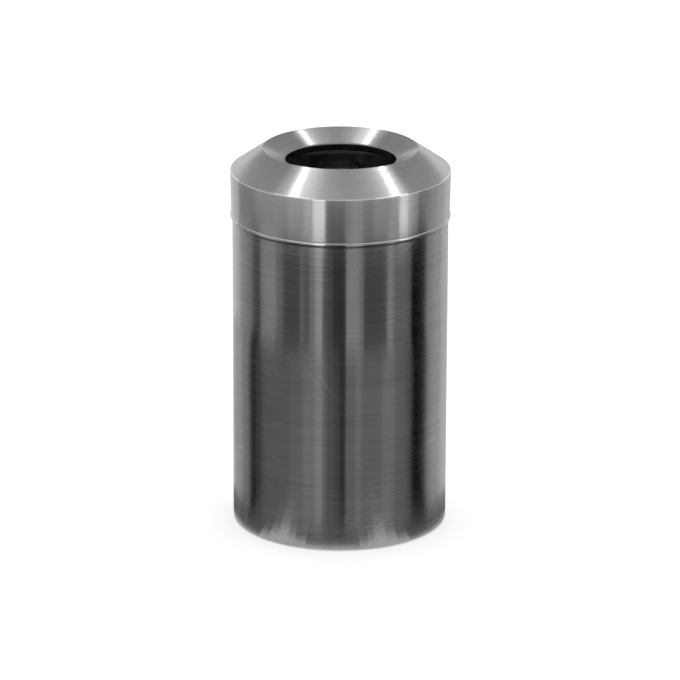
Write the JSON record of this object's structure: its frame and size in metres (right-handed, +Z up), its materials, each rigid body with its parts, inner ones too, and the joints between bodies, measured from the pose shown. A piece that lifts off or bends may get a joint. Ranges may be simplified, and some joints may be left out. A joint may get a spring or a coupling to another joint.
{
  "type": "cone top waste bin",
  "caption": "Round stainless steel waste bin with a lift-off cone lid, a funnel opening and a lift-out bucket with a bail handle.",
  "frame": {"origin": "on the floor, under the middle of the bin", "axes": "+Z up; -Y is the side that faces the camera in the picture, +X to its right"},
  "size_m": [0.3573, 0.3574, 0.63],
  "materials": {
    "body_steel": "brushed round the body",
    "lid_steel": "satin",
    "galvanised_steel": "galvanised",
    "bail_wire": "zinc plated",
    "fastener_steel": "zinc plated",
    "foot_rubber": "matt moulded"
  },
  "bodies": {
    "body": {"body_shell": "body_steel", "base_pan": "galvanised_steel", "foot_front_left": "foot_rubber", "foot_front_right": "foot_rubber", "foot_rear_left": "foot_rubber", "foot_rear_right": "foot_rubber", "foot_washers": "fastener_steel", "foot_rivets": "fastener_steel"},
    "liner": {"liner_shell": "galvanised_steel", "liner_base": "galvanised_steel", "liner_rim_wire": "fastener_steel", "bail_ear_front": "galvanised_steel", "bail_ear_rear": "galvanised_steel", "ear_rivets": "fastener_steel"},
    "lid": {"lid_skirt": "lid_steel", "lid_outer_cone": "lid_steel", "lid_funnel": "lid_steel", "throat_ring": "lid_steel"},
    "bail": {"bail_handle": "bail_wire"}
  },
  "joints": [
    {"name": "liner_lift", "type": "slide", "parent": "body", "child": "liner", "axis": [0, 0, 1], "range_m": [0, 0.6]},
    {"name": "lid_lift", "type": "slide", "parent": "liner", "child": "lid", "axis": [0, 0, 1], "range_m": [0, 0.45]},
    {"name": "bail_swing", "type": "hinge", "parent": "liner", "child": "bail", "pos_m": [0, 0, 0.547], "axis": [0.1478, 0.989, 0], "range_deg": [0, 182.2]}
  ],
  "couplings": [
    {"joint": "bail_swing", "follows": "lid_lift", "rad_per_m": 7.0659}
  ]
}
